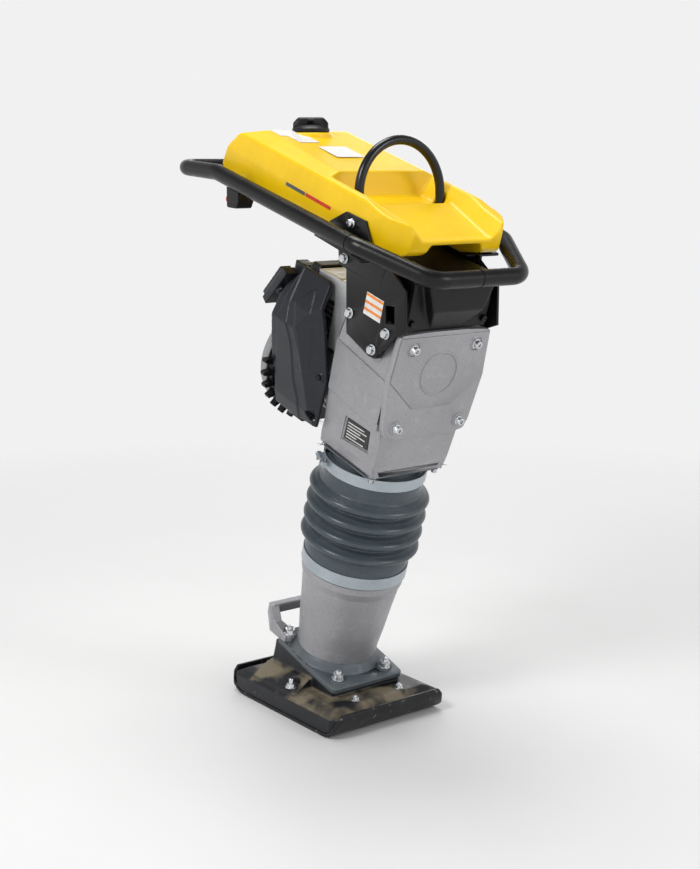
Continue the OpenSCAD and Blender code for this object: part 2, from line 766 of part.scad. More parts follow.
module spark_plug() {
    color("#e8e6e0") leg() translate([cyl_u, 0, 0]) {
        translate([0, 0, 736]) cylinder(h = 14, r = 7);
        translate([0, 0, 750.2]) cylinder(h = 7, r = 10.5, $fn = 6);
        translate([0, 0, 757]) cylinder(h = 8, r = 7);
    }
    color("#1a1b1e") leg() translate([cyl_u, 0, 765]) {
        cylinder(h = 16, r = 10);
        translate([-10, -8, 8]) cube([34, 16, 12]);
    }
}

module carburettor() {
    color("#a0a2a4") leg() {
        translate([-107, 24, 700]) cube([30, 30, 34]);
        rod_u(-104, -84, 9, 39, 690);
    }
}

port_y = -20;
module muffler() {
    color("#bfc0c0") leg() difference() {
        union() {
            slab_y(-72, -4)
                polygon(rounded([[-72, 676], [-66, 780], [-84, 800], [-104, 797], [-104, 676]], 6));
            // part over the cylinder
            slab_y(-72, -13) polygon([[-100, 757], [-100, 799], [-160, 796], [-160, 757]]);
            // short pipe from the exhaust port
            rod_u(-111.9, -100, 13, port_y, 700);
        }
        slab_y(-69, -7) polygon(rounded([[-75, 680], [-69, 778], [-85, 796], [-101, 793], [-101, 680]], 3));
        slab_y(-69, -16) polygon([[-90, 760], [-90, 794], [-157, 793], [-157, 760]]);
        rod_u(-126, -100, 9, port_y, 700);
    }
}

housing_rear_u = fan_u - 15;
starter_u = fan_u - 30;
module fan_housing() {
    color("#1f2630") leg() difference() {
        union() {
            slab_u(housing_rear_u, fan_u + 2) polygon(fan_outline);
            // shoulder that carries the pull grip
            slab_u(starter_u, fan_u) polygon([[-55, 705], [-55, 790], [-82, 790], [-104, 735], [-108, 705]]);
            // duct towards the cylinder
            slab_u(fan_u, -166) polygon(both_sides([[64, 798], [71, 784], [85, 732], [85, 716], [60, 716]]));
        }
        // fan chamber
        rod_u(fan_u - 40, fan_u - 3, fan_r, 0, drive_s);
        slab_u(fan_u - 12, fan_u - 3)
            polygon(both_sides([[58, 760], [96, 726], [114, 698], [103, 642], [88, 620]]));
        rod_u(fan_u - 10, fan_u + 10, 40, 0, drive_s);
        slab_u(fan_u - 10, fan_u + 10) polygon(both_sides([[50, 780], [50, 664]]));
        // room for the cylinder under the duct
        slab_u(fan_u + 2, -90) polygon(both_sides([[66, 786], [80, 732], [80, 700]]));
        // rest for the pull grip and the way out for its rope
        at_grip() translate([-60, -45, -9.6]) cube([140, 62, 60]);
        at_grip() translate([0, 0, -42]) cylinder(h = 45, r = 5);
    }
}

// Outline of the side covers seen from the rear, from above and from the side
side_outline = [[60, 790], [82, 790], [112, 735], [124, 700], [113, 642], [106, 600], [100, 560], [92, 536],
    [60, 528]];
side_plan = [[-190, 140], [-150, 131], [-65, 89.7], [-65, 60], [-190, 60]];
side_view = [[-189, 480], [-110, 538], [-68, 540], [-65, 631], [-87, 726], [-108, 784], [-120, 794],
    [-189, 796]];
// Rim band behind, and the louvred panel beside it
band_view = [[-190, 800], [-171, 727], [-143, 669], [-132, 602], [-117, 572], [-112, 500], [-190, 480]];
louvre_view = [[-160, 738], [-133, 768], [-128, 761], [-104, 719], [-97, 639], [-110, 630], [-118, 660],
    [-128, 694], [-142, 716]];
louvre_low = [[-142, 716], [-130, 700], [-125, 680], [-119, 661], [-115, 638]];
louvre_high = [[-116, 750], [-108, 738], [-104, 719], [-102, 699], [-100, 679]];
cover_screw = [-76, 631];

// Outline of a straight strip of width w from a to b
function strip(a, b, w) = let (d = unit(b - a), n = [-d[1], d[0]] * w / 2) [a + n, b + n, b - n, a - n];

// Solid body of a side cover, moved outwards by d
module side_body(side, d) {
    translate([0, side * d, 0]) intersection() {
        slab_u(fan_u + 2, -65) polygon([for (p = side_outline) [side * p[0], p[1]]]);
        translate([0, 0, 470]) linear_extrude(400) polygon([for (p = side_plan) [p[0], side * p[1]]]);
        slab_y(-150, 150) polygon(side_view);
    }
}

// Shroud cover beside the cylinder, with louvres and a framed window at its lower end
module side_cover(side) {
    difference() {
        union() {
            side_body(side, 0);
            intersection() {
                side_body(side, 2);
                slab_y(-150, 150) polygon(band_view);
            }
            difference() {
                intersection() {
                    side_body(side, 1.5);
                    slab_y(-150, 150) polygon(louvre_view);
                }
                for (i = [0:4]) slab_y(-150, 150) polygon(strip(louvre_low[i], louvre_high[i], 2.4));
            }
            // cone round the screw
            translate([cover_screw[0], side * 86, cover_screw[1]]) rotate([-side * 90, 0, 0])
                cylinder(h = 11, r1 = 11, r2 = 7);
        }
        // hollow inside
        intersection() {
            slab_u(fan_u + 1, -50) polygon([for (p = [[0, 540], [87, 540], [94, 562], [100, 602], [107, 642],
                [117.5, 700], [106, 733], [76, 784], [74, 810], [0, 810]]) [side * p[0], p[1]]]);
            translate([0, 0, 470]) linear_extrude(400) polygon([for (p = [[-200, 135.5], [-150, 124.3],
                [-50, 75.7], [-50, 0], [-200, 0]]) [p[0], side * p[1]]]);
        }
        // window
        translate([0, side * 105, 0]) slab_y(-40, 40)
            polygon([[-97, 560], [-74, 569], [-72, 548], [-87, 551]]);
        // spot face and hole for the screw
        translate([0, side * 120, 0]) rod_y(-22.9, 22.9, 5.8, cover_screw[0], cover_screw[1]);
        translate([0, side * 100, 0]) rod_y(-40, 40, 3 + fit, cover_screw[0], cover_screw[1]);
    }
}

module cylinder_cover() {
    color("#262e3a") leg() {
        side_cover(-1);
        side_cover(1);
    }
}

module starter_cover() {
    color("#8b8f93") leg() translate([starter_u, 0, drive_s]) rotate([0, -90, 0]) {
        difference() {
            union() {
                cylinder(h = 18, r = starter_r, $fn = fine);
                translate([0, 0, 18]) cylinder(h = 10, r1 = starter_r - 1, r2 = starter_r - 24, $fn = fine);
            }
            translate([0, 0, -1]) cylinder(h = 15, r = starter_r - 4, $fn = fine);
            for (a = [0:45:315]) rotate([0, 0, a]) translate([50, -4, 10]) cube([24, 8, 30]);
        }
        // post that the rope pulley turns on
        cylinder(h = 14.1, r = 8);
    }
}

// Ring with teeth that guard the air intake between the starter cover and the fan housing
module intake_grille() {
    u0 = starter_u + 0.1;
    ring_r = starter_r - 4;
    color("#17181b") leg() translate([0, 0, drive_s]) {
        difference() {
            rod_u(u0, u0 + 14.8, ring_r, 0, 0);
            rod_u(u0 - 1, u0 + 16, ring_r - 8, 0, 0);
        }
        for (i = [0:15]) rotate([87 + 12.4 * i, 0, 0]) slab_u(u0 + 1, u0 + 13)
            polygon([[-6, ring_r - 3], [6, ring_r - 3], [4.5, ring_r + 16], [-1.5, ring_r + 16]]);
    }
}

module shroud_screws() {
    color("#2b2d31") leg() for (side = [-1, 1]) {
        translate([0, side * 98.9, 0]) rod_y(-1.7, 1.7, 5.4, cover_screw[0], cover_screw[1]);
        translate([0, side * 91, 0]) rod_y(-6.3, 6.3, 3, cover_screw[0], cover_screw[1]);
        rod_u(99, 105, 5.5, side * 75.8, 800.5);
        rod_u(86, 99.1, 3.4, side * 75.8, 800.5);
    }
}

// Built-up crankshaft: two halves whose pin sits in the engine's con rod
module crankshaft() {
    half_gap = 9;
    color("#9da1a6") leg() {
        rod_u(fan_u - 28, cyl_u - half_gap, 9, 0, drive_s);
        rod_u(cyl_u - half_gap - 12, cyl_u - half_gap, 33, 0, drive_s);
        rod_u(cyl_u + half_gap, cyl_u + half_gap + 12, 33, 0, drive_s);
        rod_u(cyl_u + half_gap, -78, 9, 0, drive_s);
    }
}

engine_stroke = 34;
module engine_piston() {
    pin = drive_s - engine_stroke / 2;
    crown = pin + 82;
    color("#c2c4c6") leg() {
        translate([cyl_u, 0, crown - 14]) difference() {
            cylinder(h = 38, r = bore_d / 2 - fit);
            translate([0, 0, -1]) cylinder(h = 32, r = bore_d / 2 - 4);
        }
        rod_y(-bore_d / 2 + 3.5, bore_d / 2 - 3.5, 5, cyl_u, crown - 4);
        translate([cyl_u - 4, -6, pin]) cube([8, 12, crown - 4 - pin]);
        rod_u(cyl_u - 7, cyl_u + 7, 11, 0, pin);
        rod_y(-8, 8, 9, cyl_u, crown - 4);
    }
}

module flywheel_fan() {
    u1 = fan_u - 6;
    color("#6c7075") leg() difference() {
        union() {
            rod_u(fan_u - 22, u1, 60, 0, drive_s);
            for (a = [0:24:336]) translate([fan_u - 24, 0, drive_s]) rotate([a, 0, 0])
                translate([0, -2, 55]) cube([16, 4, 30]);
            rod_u(fan_u - 9, u1, fan_r - 4, 0, drive_s);
        }
        rod_u(fan_u - 40, fan_u + 4, 9 + fit, 0, drive_s);
    }
}

module clutch_shoes() {
    color("#7d6a55") leg() difference() {
        union() {
            for (side = [-1, 1]) intersection() {
                rod_u(-96, -80, 36.5, 0, drive_s);
                translate([-100, side > 0 ? 4 : -40, drive_s - 26]) cube([24, 36, 52]);
            }
            rod_u(-96, -80, 16, 0, drive_s);
        }
        rod_u(-102, -70, 9 + fit, 0, drive_s);
    }
}

module starter_pulley() {
    u0 = fan_u - 43;
    color("#d9d4c4") leg() difference() {
        union() {
            rod_u(u0, u0 + 3, 36, 0, drive_s);
            rod_u(u0 + 3, u0 + 9, 30, 0, drive_s);
            rod_u(u0 + 9, u0 + 12, 36, 0, drive_s);
        }
        rod_u(u0 - 4, u0 + 16, 8 + fit, 0, drive_s);
    }
}

// Pull grip: it lies against the shroud's rear shoulder and pulls up and to the rear
grip_mid = [-226, -97, 737];
pull_lean = -58;
module at_grip() {
    translate(grip_mid) rotate([0, pull_lean, 0]) children();
}

module starter_grip() {
    color("#1a2130") leg() at_grip() {
        translate([-42, -13, -3]) cube([84, 26, 15]);
        translate([-36, -11, 11.9]) cube([72, 22, 8]);
        difference() {
            translate([0, 0, -9]) cylinder(h = 7, r = 9);
            translate([0, 0, -12]) cylinder(h = 8, r = 2.6);
        }
    }
}

module starter_rope() {
    color("#d8d8d2") leg() at_grip() translate([0, 0, -22]) cylinder(h = 17.5, r = 2.5);
}

// ---------- brackets, handle, controls ----------

module bracket(side) {
    y_in = 95;
    plate_t = 5;
    a = min(side * y_in, side * (y_in + plate_t));
    tab_y = tank_half_w;
    difference() {
        union() {
            // main plate, its long edges upright in the world
            difference() {
                slab_y(a, a + plate_t) polygon([[163, 709], [222, 677], [236, 674], [292, 715], [315, 722],
                    [315, 788], [300, 803], [272, 826], [163, 858]]);
                slab_y(-110, 110) polygon([[266, 734], [288, 734], [288, 762], [266, 762]]);
            }
            leg() {
                // upper part of the plate and the web under the tank
                slab_y(a, a + plate_t) polygon([[-78, 836], [34, 840], [42, 885], [-96, 885]]);
                translate([-96, side > 0 ? 74 : -147, 880]) cube([128, 73, 5]);
                // lip that the tube is welded to
                translate([-60, side > 0 ? 142 : -147, 880]) cube([66, 5, 24]);
                // tab up to the tank
                slab_y(side > 0 ? tab_y : -tab_y - 4, side > 0 ? tab_y + 4 : -tab_y)
                    polygon([[-84, 880], [-84, 909], [-47, 937], [5, 939], [30, 908], [32, 880]]);
            }
        }
        leg() {
            for (p = side_bolts) rod_y(-110, 110, 5, p[0], p[1]);
            rod_y(-110, 110, 5, upper_bolt[0], upper_bolt[1]);
            rod_y(-140, 140, 4, tank_bolt[0], tank_bolt[1]);
        }
        translate([loop_x, side * loop_r, 800]) cylinder(h = 200, r = loop_rod_r);
        at_rail(side) cylinder(h = 400, r = tube_r + 0.02);
    }
}

upper_bolt = [-64, 851];
tank_bolt = [-27, 924];
loop_x = 180;
loop_r = 86;
loop_z = 935;
loop_rod_r = 8;

module bracket_right() {
    color("#131417") bracket(-1);
}

module bracket_left() {
    color("#131417") bracket(1);
}

module bracket_bolts() {
    color("silver") leg() for (side = [-1, 1]) {
        for (p = side_bolts) translate([p[0], side * 100, p[1]]) rotate([-side * 90, 0, 0]) {
            bolt_head(9);
            translate([0, 0, -28]) cylinder(h = 28.2, r = 5);
        }
        translate([upper_bolt[0], side * 100, upper_bolt[1]]) rotate([-side * 90, 0, 0]) {
            bolt_head(9);
            translate([0, 0, -5]) cylinder(h = 5.2, r = 5);
            translate([0, 0, -14]) cylinder(h = 9, r = 9, $fn = 6);
        }
        translate([tank_bolt[0], side * (tank_half_w + 4), tank_bolt[1]]) rotate([-side * 90, 0, 0]) {
            bolt_head(8);
            translate([0, 0, -4]) cylinder(h = 4.2, r = 4);
        }
    }
}

module rubber_mounts() {
    color("#26272a") leg() for (side = [-1, 1], p = side_bolts) difference() {
        rod_y(side > 0 ? case_half_w : -95, side > 0 ? 95 : -case_half_w, 15, p[0], p[1]);
        rod_y(-100, 100, 5.01, p[0], p[1]);
    }
}

// Corners of the handle loop in the world, from the rear bar to the front bar
rear_x = -258;
front_x = 375;
kink_x = -133;
kink_z = 968;
joint_x = 250;
rail_slope = 15.54;
// Height of the sloping rails' centre line
function rail_z(x) = kink_z - (x - kink_x) * tan(rail_slope);
handle_rear_pts = [[rear_x, 0, 977], [rear_x, handle_half_w, 977], [kink_x, handle_half_w, kink_z],
    [joint_x, handle_half_w, rail_z(joint_x)]];
handle_front_pts = [[joint_x, handle_half_w, rail_z(joint_x)], [262, handle_half_w, rail_z(262)],
    [front_x, 93, 807], [front_x, 0, 807]];

// Puts a cylinder along a sloping rail, from its joint towards the rear
module at_rail(side) {
    translate([joint_x, side * handle_half_w, rail_z(joint_x)]) rotate([0, rail_slope - 90, 0]) children();
}

function mirrored(pts) = [for (p = pts) [p[0], -p[1], p[2]]];

// Low bead round a tube, from z0 to z1 along it
module bead(z0, z1) {
    difference() {
        translate([0, 0, z0]) cylinder(h = z1 - z0, r = tube_r + 0.8);
        translate([0, 0, z0 - 1]) cylinder(h = z1 - z0 + 2, r = tube_r - 1);
    }
}

module handle_rear() {
    color("#141517") {
        tube_path(handle_rear_pts, [36, 90], tube_r, tube_t);
        tube_path(mirrored(handle_rear_pts), [36, 90], tube_r, tube_t);
        // bead round each end of the tube
        for (side = [-1, 1]) at_rail(side) bead(0.1, 2.6);
    }
}

module handle_front() {
    color("#141517") {
        tube_path(handle_front_pts, [40, 38], tube_r, tube_t);
        tube_path(mirrored(handle_front_pts), [40, 38], tube_r, tube_t);
        // bead round the joint in the front bar
        translate([front_x, 0, 807]) rotate([90, 0, 0]) bead(-1.2, 1.2);
    }
}

// Throttle box under the right rear tube, with its lever and the stop button
box_x = -98;
box_z = 908;
module throttle_housing() {
    color("#15161a") difference() {
        slab_y(-handle_half_w - 4, -handle_half_w + 28) polygon(rounded([[box_x, box_z],
            [box_x + 30, box_z - 2], [box_x + 37, box_z + 10], [box_x + 37, box_z + 44],
            [box_x, box_z + 50]], 5));
        at_rail(-1) cylinder(h = 400, r = tube_r + 0.02);
        rod_y(-handle_half_w + 10, -handle_half_w + 40, 5 + fit, lever_x, lever_z);
        translate([box_x - 12, button_y, lever_z]) rotate([0, 90, 0]) cylinder(h = 26, r = 6 + fit);
    }
}

lever_x = box_x + 20;
lever_z = box_z + 14;
button_y = -handle_half_w + 6;
// Short lever on the inner face: its arm lies level and its knob swings down
module throttle_lever() {
    inner = -handle_half_w + 28.3;
    color("#c8281e") {
        rod_y(-handle_half_w + 12, inner + 1, 5, lever_x, lever_z);
        rod_y(inner, inner + 5, 9, lever_x, lever_z);
        slab_y(inner, inner + 5) polygon([[lever_x, lever_z - 6], [lever_x - 28, lever_z - 4],
            [lever_x - 28, lever_z + 4], [lever_x, lever_z + 6]]);
        rod_y(inner, inner + 12, 6, lever_x - 28, lever_z);
    }
}

// Stop button on the rear face of the throttle box
module stop_button() {
    color("#b3211c") translate([box_x - 5, button_y, lever_z]) rotate([0, 90, 0]) {
        cylinder(h = 15, r = 6);
        cylinder(h = 2, r = 8);
    }
}

// ---------- tank and lifting loop ----------

tank_side = rounded([[72, 904], [80, 912], [82, 940], [74, 955], [16, 961], [-60, 975], [-356, 978],
    [-390, 962], [-412, 935], [-421, 900], [-418, 886], [20, 886]], 4);
tank_section = both_sides([[100, 886], [tank_half_w - 1, 890], [tank_half_w, 912], [tank_half_w, 930],
    [120, 965], [86, 978]]);
tank_plan = both_sides([[tank_half_w, -422], [tank_half_w, 6], [117, 50], [92, 84], [50, 84]]);

// Outside of the tank before it is hollowed
module tank_shell() {
    intersection() {
        slab_y(-tank_half_w, tank_half_w) polygon(tank_side);
        slab_u(-430, 90) polygon(tank_section);
        translate([0, 0, 850]) linear_extrude(200) polygon([for (p = tank_plan) [p[1], p[0]]]);
    }
}

// What is taken out of the tank's outside
module tank_cuts() {
    // trough for the lifting loop and the sunken front panel
    intersection() {
        slab_y(-112, 112) polygon([[-142, 1000], [-114, 938], [-54, 936], [-50, 947], [60, 931], [60, 900],
            [100, 900], [100, 1000]]);
        slab_u(-150, 100)
            polygon([[-120, 1000], [-110, 970], [-72, 930], [72, 930], [110, 970], [120, 1000]]);
    }
    // notch in the middle of the front edge
    slab_u(-25, 100) polygon([[-68, 884], [-52, 922], [52, 922], [68, 884]]);
}

// Fuel space, kept clear of the two wells that the lifting loop passes through
module fuel_space() {
    inner_w = tank_half_w - tank_t;
    difference() {
        leg() intersection() {
            slab_y(-inner_w, inner_w) polygon([[-412, 893], [-406, 930], [-386, 956], [-354, 971],
                [-150, 971], [-124, 931], [-60, 929], [-34, 928], [-34, 893]]);
            slab_u(-430, 90)
                polygon(both_sides([[96, 891], [inner_w, 896], [inner_w, 928], [112, 958], [82, 971]]));
        }
        for (side = [-1, 1]) translate([loop_x, side * loop_r, 800])
            cylinder(h = 200, r = loop_rod_r + 2 + tank_t);
        translate([cap_x, 0, seat_z - 6]) cylinder(h = 40, r = seat_r);
    }
}

module tank() {
    color("#ffd911") difference() {
        union() {
            difference() {
                leg() tank_shell();
                translate([cap_x, 0, seat_z]) cylinder(h = 40, r = seat_r);
            }
            // level seat under the cap, and the filler neck
            translate([cap_x, 0, seat_z - 16]) cylinder(h = 16, r = seat_r);
            translate([cap_x, 0, seat_z - 16]) cylinder(h = 24, r = neck_r);
        }
        leg() tank_cuts();
        fuel_space();
        translate([cap_x, 0, seat_z - 30]) cylinder(h = 60, r = neck_r - 4);
        for (side = [-1, 1]) translate([loop_x, side * loop_r, 800]) cylinder(h = 200, r = loop_rod_r + 2);
    }
}

cap_x = -70;
seat_z = 1036;
seat_r = 37;
neck_r = 25;
module fuel_cap() {
    color("#16171a") translate([cap_x, 0, seat_z + 0.3]) difference() {
        union() {
            cylinder(h = 7, r = cap_r);
            translate([0, 0, 7]) cylinder(h = 5, r1 = cap_r - 1, r2 = cap_r - 7);
            translate([-cap_r + 5, -8, 8]) cube([2 * cap_r - 10, 16, 18.7]);
        }
        translate([0, 0, -1]) cylinder(h = 9, r = neck_r + 2 * fit);
    }
}

module lifting_loop() {
    foot_z = 846;
    color("#131417") {
        translate([loop_x, 0, loop_z]) rotate([90, 0, 90]) rotate_extrude(angle = 180, $fn = fine)
            translate([loop_r, 0]) circle(loop_rod_r - fit);
        for (side = [-1, 1]) translate([loop_x, side * loop_r, foot_z]) {
            cylinder(h = loop_z - foot_z, r = loop_rod_r - fit);
        }
    }
}

shoe_plate();
shoe_body();
shoe_bolts();
foot_flange();
foot_cone();
flange_nuts();
foot_grip();
lower_clamp();
spring_cylinder();
spring_cap();
lower_springs();
upper_springs();
bellows();
crankcase();
crankcase_cover();
case_screws();
guide_tube();
guide_bush();
upper_clamp();
bearings();
rating_plate();
air_filter_housing();
air_filter_element();
engine_block();
engine_cylinder();
spark_plug();
carburettor();
muffler();
fan_housing();
cylinder_cover();
starter_cover();
intake_grille();
shroud_screws();
bracket_right();
bracket_left();
bracket_bolts();
rubber_mounts();
handle_rear();
handle_front();
throttle_housing();
tank();
lifting_loop();
crank_gear();
con_rod();
piston_rod();
wrist_pin();
pinion_shaft();
crankshaft();
flywheel_fan();
clutch_shoes();
engine_piston();
starter_pulley();
starter_rope();
starter_grip();
throttle_lever();
stop_button();
fuel_cap();
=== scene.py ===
"""Looks of a jumping jack rammer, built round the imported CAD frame.

World lengths are metres. Points in the leg frame, piece profiles, widths, voxels and depths are millimetres.
"""

import json
import math

import bpy
from mathutils import Matrix, Vector


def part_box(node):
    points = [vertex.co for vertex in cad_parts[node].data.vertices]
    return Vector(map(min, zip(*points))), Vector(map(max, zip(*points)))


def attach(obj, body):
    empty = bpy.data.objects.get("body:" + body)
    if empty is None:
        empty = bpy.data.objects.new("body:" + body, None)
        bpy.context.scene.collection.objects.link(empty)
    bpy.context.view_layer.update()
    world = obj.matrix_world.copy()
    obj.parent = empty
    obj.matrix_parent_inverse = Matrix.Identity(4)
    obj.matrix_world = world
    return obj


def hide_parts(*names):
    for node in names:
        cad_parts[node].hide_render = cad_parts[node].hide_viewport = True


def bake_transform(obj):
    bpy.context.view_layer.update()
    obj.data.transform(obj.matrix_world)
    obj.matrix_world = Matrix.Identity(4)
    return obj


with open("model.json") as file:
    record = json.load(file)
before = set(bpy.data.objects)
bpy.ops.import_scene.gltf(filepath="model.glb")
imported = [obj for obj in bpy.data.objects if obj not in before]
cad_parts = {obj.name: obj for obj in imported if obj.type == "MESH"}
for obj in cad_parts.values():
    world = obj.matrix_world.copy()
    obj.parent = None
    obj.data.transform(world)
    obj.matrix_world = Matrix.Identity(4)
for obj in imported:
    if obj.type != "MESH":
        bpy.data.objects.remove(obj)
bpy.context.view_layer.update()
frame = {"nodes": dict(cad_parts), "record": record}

# ---------- the leg frame ----------

MM = 0.001
WELD_GAP = 0.000005
LEG_TILT = math.radians(17.37)
LEG_X0 = -0.032
LEG = Matrix.Translation((LEG_X0, 0, 0)) @ Matrix.Rotation(LEG_TILT, 4, "Y")
RIGHT = Vector((0, -1, 0))


def leg(u, y, s):
    """World point, in metres, of a point given in the leg frame in millimetres."""
    return LEG @ Vector((u * MM, y * MM, s * MM))


UP = leg(0, 0, 1) - leg(0, 0, 0)


# ---------- camera, light and floor ----------

CAMERA_PLACE = (2.02971, -1.52448, 0.9855)
CAMERA_FALL = 10.76
CAMERA_HEADING = 52.49
CAMERA_LENS = 59.45
SKY_LOW, SKY_HIGH = 0.88, 0.3
FLOOR_SIDE, FLOOR_FADE_START, FLOOR_FADE_END = 3.2, 0.7, 2.6


def camera():
    data = bpy.data.cameras.new("camera")
    data.sensor_width = 36
    data.lens = CAMERA_LENS
    data.clip_end = 20
    obj = bpy.data.objects.new("camera", data)
    obj.location = CAMERA_PLACE
    obj.rotation_euler = (math.radians(90 - CAMERA_FALL), 0, math.radians(CAMERA_HEADING))
    bpy.context.collection.objects.link(obj)
    bpy.context.scene.camera = obj


def area_light(name, place, target, size, power):
    data = bpy.data.lights.new(name, "AREA")
    data.size = size
    data.energy = power
    obj = bpy.data.objects.new(name, data)
    obj.location = place
    obj.rotation_euler = (Vector(target) - Vector(place)).to_track_quat("-Z", "Y").to_euler()
    bpy.context.collection.objects.link(obj)


def studio():
    """Pale surroundings that darken overhead, and four soft lamps."""
    world = bpy.data.worlds.new("studio")
    world.use_nodes = True
    tree = world.node_tree
    background = tree.nodes["Background"]
    background.inputs["Color"].default_value = (1, 1, 1, 1)
    split = tree.nodes.new("ShaderNodeSeparateXYZ")
    tree.links.new(tree.nodes.new("ShaderNodeTexCoord").outputs["Generated"], split.inputs[0])
    fade = tree.nodes.new("ShaderNodeMapRange")
    fade.interpolation_type = "SMOOTHSTEP"
    fade.inputs["From Min"].default_value = 0.15
    fade.inputs["From Max"].default_value = 0.75
    fade.inputs["To Min"].default_value = SKY_LOW
    fade.inputs["To Max"].default_value = SKY_HIGH
    tree.links.new(split.outputs["Z"], fade.inputs["Value"])
    tree.links.new(fade.outputs[0], background.inputs["Strength"])
    bpy.context.scene.world = world
    bpy.context.scene.view_settings.view_transform = "Standard"
    middle = (0, 0, 0.55)
    area_light("key_light", (0.5, -2.3, 2.5), middle, 0.8, 34)
    area_light("front_light", (2.8, 1.2, 1.9), middle, 0.9, 16)
    area_light("top_light", (-0.4, 0.2, 3.4), middle, 1.4, 46)
    area_light("rear_light", (-2.4, 2.2, 1.6), middle, 1.2, 14)


def floor():
    """Round pale floor that fades out, so that no horizon shows."""
    mesh = bpy.data.meshes.new("floor")
    side = FLOOR_SIDE
    corners = [(-side, -side, 0), (side, -side, 0), (side, side, 0), (-side, side, 0)]
    mesh.from_pydata(corners, [], [(0, 1, 2, 3)])
    obj = bpy.data.objects.new("floor", mesh)
    bpy.context.collection.objects.link(obj)
    shade = Shade("floor_paint", (0.84, 0.84, 0.84), 0.75, spec=0.2)
    shade.vary(3.0, 0.01)
    reach = shade.nodes.new("ShaderNodeVectorMath")
    reach.operation = "LENGTH"
    shade.link(shade.coord, reach.inputs[0])
    solid = shade.ramp(reach.outputs["Value"], FLOOR_FADE_START, FLOOR_FADE_END, 1.0, 0.0)
    shade.link(solid, shade.shader.inputs["Alpha"])
    obj.data.materials.append(shade.material)


# ---------- materials ----------


class Shade:
    """One procedural material: a Principled shader that each method adds a layer to."""

    def __init__(self, name, colour, rough, metal=0.0, spec=0.5):
        self.material = bpy.data.materials.new(name)
        self.material.use_nodes = True
        self.tree = self.material.node_tree
        self.nodes = self.tree.nodes
        self.shader = self.nodes["Principled BSDF"]
        self.shader.inputs["Metallic"].default_value = metal
        self.shader.inputs["Specular IOR Level"].default_value = spec
        self.shader.inputs["Roughness"].default_value = rough
        self.rough = rough
        self.coord = self.nodes.new("ShaderNodeTexCoord").outputs["Object"]
        base = self.nodes.new("ShaderNodeRGB")
        base.outputs[0].default_value = (*colour, 1)
        self.colour = base.outputs[0]
        self.link(self.colour, self.shader.inputs["Base Color"])
        self.bump = None

    def link(self, a, b):
        self.tree.links.new(a, b)

    def noise(self, scale, detail=4, stretch=(1, 1, 1)):
        place = self.nodes.new("ShaderNodeMapping")
        place.inputs["Scale"].default_value = stretch
        self.link(self.coord, place.inputs["Vector"])
        node = self.nodes.new("ShaderNodeTexNoise")
        node.inputs["Scale"].default_value = scale
        node.inputs["Detail"].default_value = detail
        self.link(place.outputs[0], node.inputs["Vector"])
        return node.outputs["Fac"]

    def ramp(self, value, low, high, out_low=0.0, out_high=1.0):
        node = self.nodes.new("ShaderNodeMapRange")
        node.inputs["From Min"].default_value = low
        node.inputs["From Max"].default_value = high
        node.inputs["To Min"].default_value = out_low
        node.inputs["To Max"].default_value = out_high
        self.link(value, node.inputs["Value"])
        return node.outputs[0]

    def times(self, a, b):
        node = self.nodes.new("ShaderNodeMath")
        node.operation = "MULTIPLY"
        self.link(a, node.inputs[0])
        self.link(b, node.inputs[1])
        return node.outputs[0]

    def mix(self, mask, colour):
        """Mixes another colour over the base where mask is 1."""
        node = self.nodes.new("ShaderNodeMix")
        node.data_type = "RGBA"
        self.link(mask, node.inputs["Factor"])
        self.link(self.colour, node.inputs["A"])
        node.inputs["B"].default_value = (*colour, 1)
        self.colour = node.outputs["Result"]
        self.link(self.colour, self.shader.inputs["Base Color"])

    def vary(self, scale, amount, rough_amount=0.08):
        """Cloudy change of brightness and roughness."""
        cloud = self.noise(scale)
        node = self.nodes.new("ShaderNodeHueSaturation")
        self.link(self.ramp(cloud, 0.3, 0.7, 1 - amount, 1 + amount), node.inputs["Value"])
        self.link(self.colour, node.inputs["Color"])
        self.colour = node.outputs[0]
        self.link(self.colour, self.shader.inputs["Base Color"])
        low, high = self.rough - rough_amount, self.rough + rough_amount
        rough = self.ramp(self.noise(scale * 2.3), 0.3, 0.7, low, high)
        self.link(rough, self.shader.inputs["Roughness"])
        return self

    def grain(self, scale, depth, detail=3, stretch=(1, 1, 1)):
        """Fine relief; depth in millimetres."""
        node = self.nodes.new("ShaderNodeBump")
        node.inputs["Strength"].default_value = 1.0
        node.inputs["Distance"].default_value = depth * MM
        self.link(self.noise(scale, detail, stretch), node.inputs["Height"])
        if self.bump:
            self.link(self.bump, node.inputs["Normal"])
        self.bump = node.outputs[0]
        self.link(self.bump, self.shader.inputs["Normal"])
        return self

    def speckle(self, scale, colour, low, high, amount=1.0):
        """Spots of another colour, such as scuffs or casting grain."""
        self.mix(self.ramp(self.noise(scale, 6), low, high, 0, amount), colour)
        return self

    def dust(self, colour, low, high, amount, scale=18):
        """Dust that settles on surfaces that look up."""
        normal = self.nodes.new("ShaderNodeNewGeometry").outputs["Normal"]
        split = self.nodes.new("ShaderNodeSeparateXYZ")
        self.link(normal, split.inputs[0])
        up = self.ramp(split.outputs[2], 0.1, 0.8)
        mask = self.times(up, self.ramp(self.noise(scale, 8), low, high, 0, amount))
        self.mix(mask, colour)
        return self


def cast_aluminium():
    shade = Shade("cast_aluminium", (0.375, 0.372, 0.39), 0.4, metal=0.6)
    shade.vary(7, 0.09)
    shade.speckle(420, (0.22, 0.22, 0.235), 0.5, 0.72, 0.6)
    shade.speckle(60, (0.50, 0.50, 0.51), 0.58, 0.8, 0.45)
    shade.grain(900, 0.4).grain(160, 0.3)
    return shade


